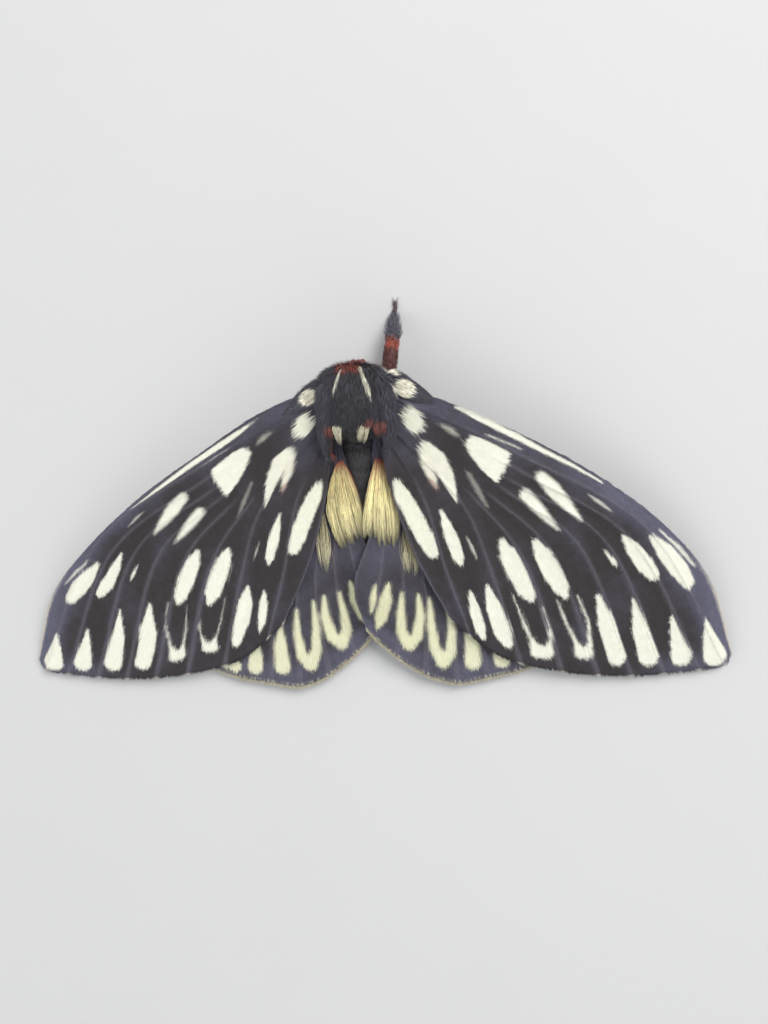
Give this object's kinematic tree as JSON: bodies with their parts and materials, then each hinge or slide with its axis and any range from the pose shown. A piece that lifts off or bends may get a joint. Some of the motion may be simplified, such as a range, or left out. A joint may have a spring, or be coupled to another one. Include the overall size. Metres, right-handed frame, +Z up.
{
  "type": "citheronia vogleri moth",
  "caption": "Life-size still model of a large black and cream royal moth at rest, wings spread back flat over its body, six feet on the floor.",
  "frame": {"origin": "middle of the moth's box in plan, on the floor that its feet stand on", "axes": "+X to the moth's own right along the wing span, +Y to the head, +Z up off the floor"},
  "size_m": [0.1078, 0.0588, 0.0151],
  "materials": {
    "wing_scales": "matt charcoal scales with cream spots",
    "dark_fur": "soft black-grey fur",
    "abdomen": "short black fur with red lines",
    "red_fur": "soft orange-red fur",
    "yellow_hair": "long soft pale yellow hair",
    "leg": "short grey hair over a dark shell, red at the knee",
    "antenna": "dark horn-like shell",
    "eye": "glossy dark brown facets"
  },
  "bodies": {
    "root": {"head": "red_fur", "eye_right": "eye", "eye_left": "eye", "antenna_right": "antenna", "antenna_left": "antenna", "thorax": "dark_fur", "abdomen": "abdomen", "forewing_right": "wing_scales", "forewing_left": "wing_scales", "hindwing_right": "wing_scales", "hindwing_left": "wing_scales", "leg_front_right": "leg", "leg_front_left": "leg", "leg_mid_right": "leg", "leg_mid_left": "leg", "leg_hind_right": "leg", "leg_hind_left": "leg"}
  },
  "joints": []
}
